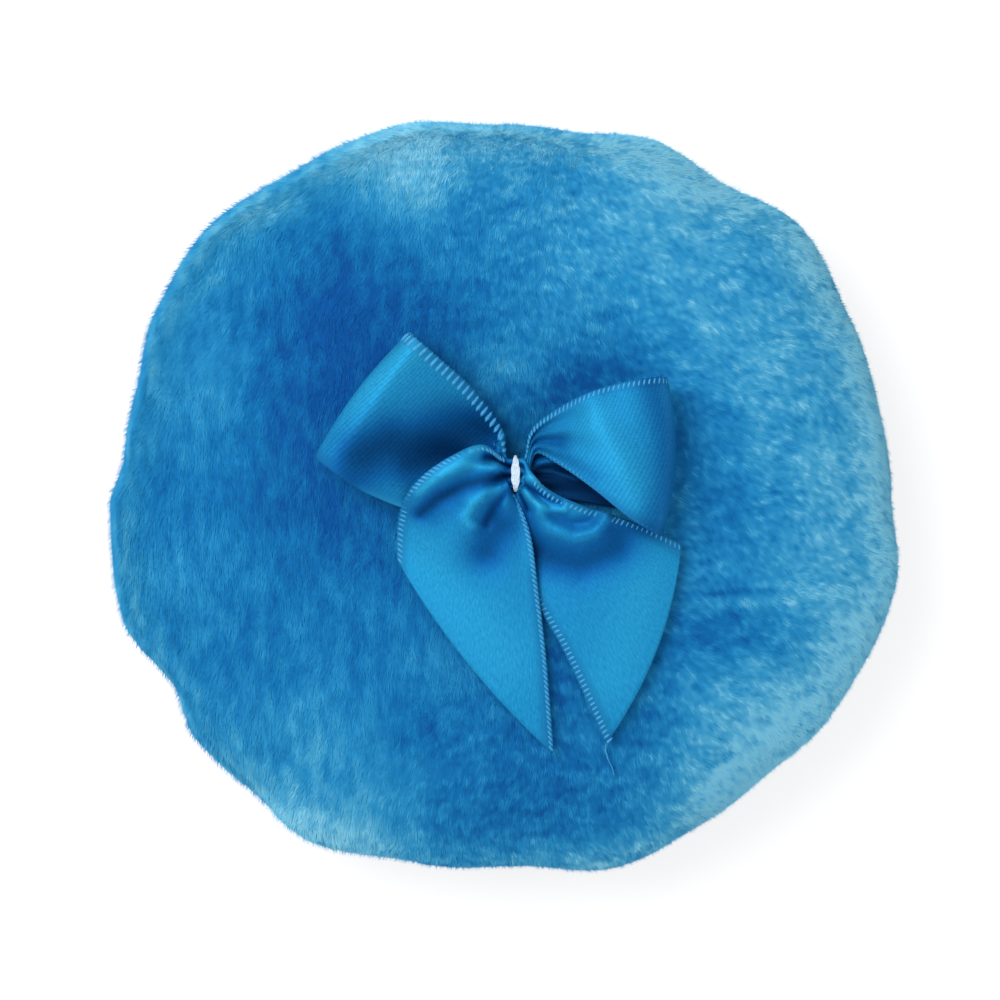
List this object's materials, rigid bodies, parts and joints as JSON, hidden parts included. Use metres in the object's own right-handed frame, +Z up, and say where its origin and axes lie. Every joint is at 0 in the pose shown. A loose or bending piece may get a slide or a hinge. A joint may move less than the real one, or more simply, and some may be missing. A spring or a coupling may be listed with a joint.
{
  "type": "powder puff",
  "caption": "Round plush powder puff with a gathered rim, tufted at its crown by a satin ribbon bow with two hanging tails.",
  "frame": {"origin": "middle of the flat face that the puff rests on", "axes": "+Z up through the bow, +X to the bow's right, +Y from the tips of the tails towards the bow's waist"},
  "size_m": [0.0822, 0.0782, 0.0298],
  "materials": {
    "plush": "matte",
    "wadding": "matte",
    "blue_thread": "satin",
    "satin_ribbon": "satin",
    "white_thread": "satin"
  },
  "bodies": {
    "root": {"top_cover": "plush", "bottom_cover": "plush", "filling_pad": "wadding", "seam_thread": "blue_thread", "closing_thread": "blue_thread", "bow_loop_ribbon": "satin_ribbon", "bow_tail_ribbon": "satin_ribbon", "bow_binding_thread": "white_thread", "bow_tack_thread": "white_thread"}
  },
  "joints": []
}
